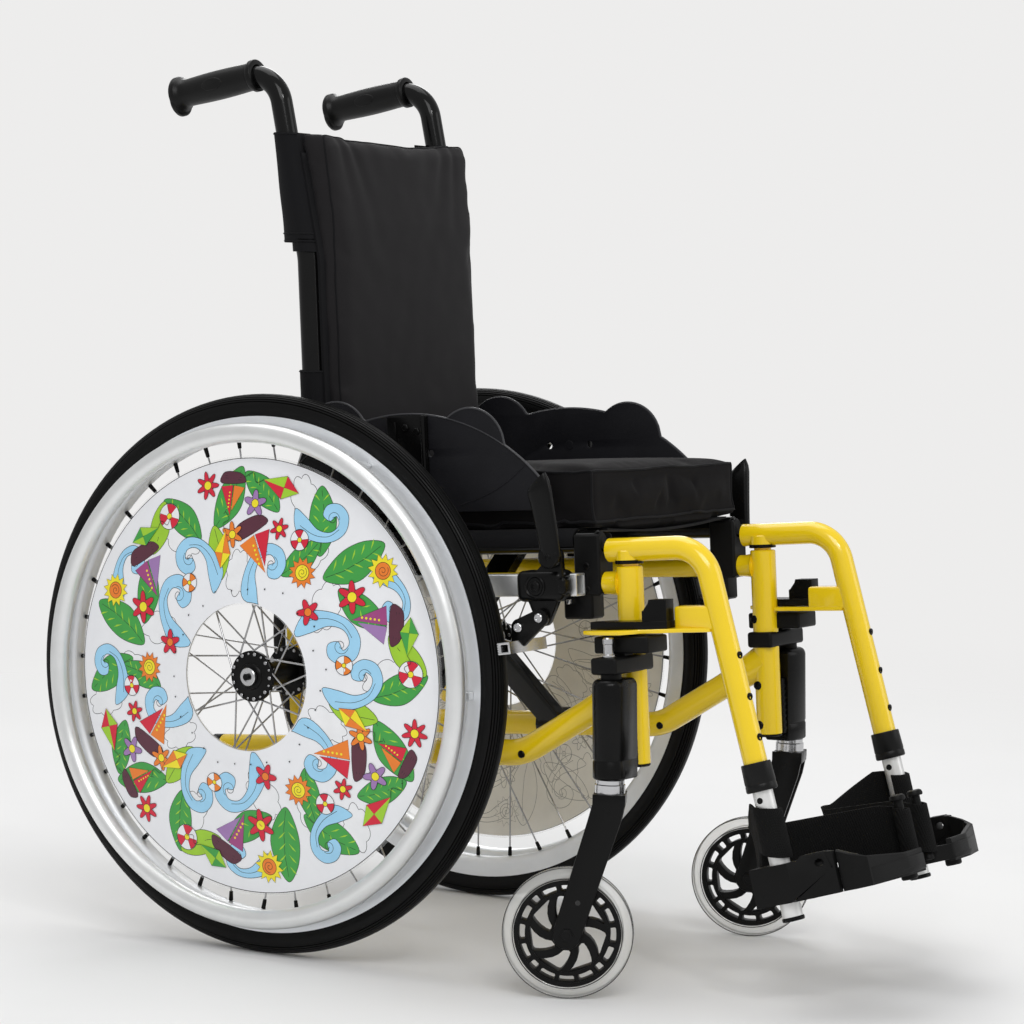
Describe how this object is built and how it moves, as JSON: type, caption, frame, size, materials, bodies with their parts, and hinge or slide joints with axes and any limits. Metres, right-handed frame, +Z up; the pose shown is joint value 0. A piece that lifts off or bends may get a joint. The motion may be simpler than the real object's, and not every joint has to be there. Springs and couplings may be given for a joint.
{
  "type": "folding wheelchair",
  "caption": "Folding self-propelled wheelchair with cross brace, spoked rear wheels, casters, swing-away footrests, wheel brakes and padded seat and back.",
  "frame": {"origin": "on the ground, at the centre of the bounding box's underside", "axes": "+X to the occupant's left across the chair, +Y to the rear, +Z up; the chair looks along -Y"},
  "size_m": [0.4824, 0.9266, 0.8961],
  "materials": {
    "yellow_paint": "glossy yellow",
    "black_paint": "glossy black",
    "black_metal": "satin black",
    "black_plastic": "fine grain, black",
    "grip_rubber": "matt black",
    "tyre_rubber": "matt black",
    "clear_tyre": "clear, pale",
    "bright_metal": "bright",
    "satin_metal": "satin",
    "guard_sheet": "printed sheet",
    "webbing": "ribbed black webbing",
    "black_cloth": "woven black nylon"
  },
  "bodies": {
    "right_frame": {"right_side_frame": "yellow_paint", "right_back_cane": "black_paint", "right_push_grip": "grip_rubber", "right_brake_rail": "bright_metal", "right_brake_body": "black_plastic", "right_rail_block": "black_plastic", "right_caster_housing": "black_plastic", "back_upholstery": "black_cloth", "seat_cushion": "black_cloth", "seat_sling": "black_cloth"},
    "brace_a": {"cross_bar_a": "black_paint", "cross_bolt": "bright_metal", "left_seat_rail": "black_paint"},
    "brace_b": {"cross_bar_b": "black_paint", "right_seat_rail": "black_paint"},
    "left_frame": {"left_side_frame": "yellow_paint", "left_back_cane": "black_paint", "left_push_grip": "grip_rubber", "left_brake_rail": "bright_metal", "left_brake_body": "black_plastic", "left_rail_block": "black_plastic", "left_caster_housing": "black_plastic"},
    "right_axle": {"right_quick_release": "bright_metal"},
    "right_wheel": {"right_tyre": "tyre_rubber", "right_rim": "satin_metal", "right_handrim": "satin_metal", "right_hub": "black_metal", "right_spoke_guard": "guard_sheet"},
    "right_caster_swivel": {"right_caster_fork": "black_paint"},
    "right_caster_wheel": {"right_caster_tyre": "clear_tyre", "right_caster_hub": "black_plastic"},
    "right_lever": {"right_brake_lever": "black_plastic"},
    "right_shoe": {"right_brake_shoe": "bright_metal"},
    "right_guard": {"right_clothes_guard": "black_plastic"},
    "right_legrest": {"right_hanger": "yellow_paint", "right_hanger_collar": "grip_rubber", "right_footrest_tube": "bright_metal", "right_footrest_lug": "black_plastic", "right_heel_loop": "webbing"},
    "right_latch": {"right_latch_lever": "black_plastic"},
    "right_plate": {"right_footplate": "black_plastic"},
    "left_axle": {"left_quick_release": "bright_metal"},
    "left_wheel": {"left_tyre": "tyre_rubber", "left_rim": "satin_metal", "left_handrim": "satin_metal", "left_hub": "black_metal", "left_spoke_guard": "guard_sheet"},
    "left_caster_swivel": {"left_caster_fork": "black_paint"},
    "left_caster_wheel": {"left_caster_tyre": "clear_tyre", "left_caster_hub": "black_plastic"},
    "left_lever": {"left_brake_lever": "black_plastic"},
    "left_shoe": {"left_brake_shoe": "bright_metal"},
    "left_guard": {"left_clothes_guard": "black_plastic"},
    "left_legrest": {"left_hanger": "yellow_paint", "left_hanger_collar": "grip_rubber", "left_footrest_tube": "bright_metal", "left_footrest_lug": "black_plastic", "left_heel_loop": "webbing"},
    "left_latch": {"left_latch_lever": "black_plastic"},
    "left_plate": {"left_footplate": "black_plastic"}
  },
  "joints": [
    {"name": "fold", "type": "hinge", "parent": "right_frame", "child": "brace_a", "pos_m": [-0.1385, 0.07809, 0.2065], "axis": [0, -0.9973, 0.0732], "range_deg": [0, 34.5], "deforming": ["back_upholstery", "seat_cushion", "seat_sling", "right_heel_loop", "left_heel_loop"]},
    {"name": "brace_pivot", "type": "hinge", "parent": "brace_a", "child": "brace_b", "pos_m": [0, 0.07013, 0.30987], "axis": [0, -0.9973, 0.0732], "range_deg": [-70, 0]},
    {"name": "left_frame_pivot", "type": "hinge", "parent": "brace_b", "child": "left_frame", "pos_m": [0.1385, 0.04717, 0.20877], "axis": [0, -0.9973, 0.0732], "range_deg": [0, 35.5]},
    {"name": "right_axle_pull", "type": "slide", "parent": "right_frame", "child": "right_axle", "axis": [-1, 0, 0], "range_m": [0, 0.12]},
    {"name": "right_wheel_spin", "type": "hinge", "parent": "right_axle", "child": "right_wheel", "pos_m": [-0.2022, 0.18325, 0.28], "axis": [1, 0, 0], "continuous": true},
    {"name": "right_caster_turn", "type": "hinge", "parent": "right_frame", "child": "right_caster_swivel", "pos_m": [-0.1875, -0.20475, 0.197], "axis": [0, 0, 1], "continuous": true},
    {"name": "right_caster_spin", "type": "hinge", "parent": "right_caster_swivel", "child": "right_caster_wheel", "pos_m": [-0.20393, -0.17194, 0.0625], "axis": [0.8942, 0.4478, 0], "continuous": true},
    {"name": "right_brake", "type": "hinge", "parent": "right_frame", "child": "right_lever", "pos_m": [-0.189, -0.13435, 0.41592], "axis": [1, 0, 0], "range_deg": [-45, 0]},
    {"name": "right_shoe_pivot", "type": "hinge", "parent": "right_frame", "child": "right_shoe", "pos_m": [-0.185, -0.12444, 0.35694], "axis": [1, 0, 0], "range_deg": [-12, 0]},
    {"name": "right_guard_lift", "type": "slide", "parent": "right_frame", "child": "right_guard", "axis": [0, 0.0732, 0.9973], "range_m": [0, 0.15]},
    {"name": "right_legrest_swing", "type": "hinge", "parent": "right_frame", "child": "right_legrest", "pos_m": [-0.1385, -0.19225, 0.40985], "axis": [0, -0.0732, -0.9973], "range_deg": [0, 90]},
    {"name": "right_latch_turn", "type": "hinge", "parent": "right_legrest", "child": "right_latch", "pos_m": [-0.1385, -0.19225, 0.40985], "axis": [0, -0.0732, -0.9973], "range_deg": [0, 15], "stiffness_Nm_per_rad": 0.05},
    {"name": "right_plate_flip", "type": "hinge", "parent": "right_legrest", "child": "right_plate", "pos_m": [-0.121, -0.37182, 0.1095], "axis": [0, -0.9613, 0.2756], "range_deg": [0, 85]},
    {"name": "left_axle_pull", "type": "slide", "parent": "left_frame", "child": "left_axle", "axis": [1, 0, 0], "range_m": [0, 0.12]},
    {"name": "left_wheel_spin", "type": "hinge", "parent": "left_axle", "child": "left_wheel", "pos_m": [0.2022, 0.18325, 0.28], "axis": [1, 0, 0], "continuous": true},
    {"name": "left_caster_turn", "type": "hinge", "parent": "left_frame", "child": "left_caster_swivel", "pos_m": [0.1875, -0.20475, 0.197], "axis": [0, 0, 1], "continuous": true},
    {"name": "left_caster_spin", "type": "hinge", "parent": "left_caster_swivel", "child": "left_caster_wheel", "pos_m": [0.1764, -0.16977, 0.0625], "axis": [0.9532, 0.3024, 0], "continuous": true},
    {"name": "left_brake", "type": "hinge", "parent": "left_frame", "child": "left_lever", "pos_m": [0.189, -0.13435, 0.41592], "axis": [1, 0, 0], "range_deg": [-45, 0]},
    {"name": "left_shoe_pivot", "type": "hinge", "parent": "left_frame", "child": "left_shoe", "pos_m": [0.185, -0.12444, 0.35694], "axis": [1, 0, 0], "range_deg": [-12, 0]},
    {"name": "left_guard_lift", "type": "slide", "parent": "left_frame", "child": "left_guard", "axis": [0, 0.0732, 0.9973], "range_m": [0, 0.15]},
    {"name": "left_legrest_swing", "type": "hinge", "parent": "left_frame", "child": "left_legrest", "pos_m": [0.1385, -0.19225, 0.40985], "axis": [0, 0.0732, 0.9973], "range_deg": [0, 90]},
    {"name": "left_latch_turn", "type": "hinge", "parent": "left_legrest", "child": "left_latch", "pos_m": [0.1385, -0.19225, 0.40985], "axis": [0, 0.0732, 0.9973], "range_deg": [0, 15], "stiffness_Nm_per_rad": 0.05},
    {"name": "left_plate_flip", "type": "hinge", "parent": "left_legrest", "child": "left_plate", "pos_m": [0.121, -0.37182, 0.1095], "axis": [0, 0.9613, -0.2756], "range_deg": [0, 85]}
  ],
  "couplings": [
    {"joint": "brace_pivot", "follows": "fold", "ratio": -2},
    {"joint": "left_frame_pivot", "follows": "fold", "ratio": 1},
    {"joint": "right_shoe_pivot", "follows": "right_brake", "ratio": 0.25},
    {"joint": "right_plate_flip", "follows": "fold", "ratio": 2.45},
    {"joint": "left_shoe_pivot", "follows": "left_brake", "ratio": 0.25},
    {"joint": "left_plate_flip", "follows": "fold", "ratio": 2.45}
  ]
}
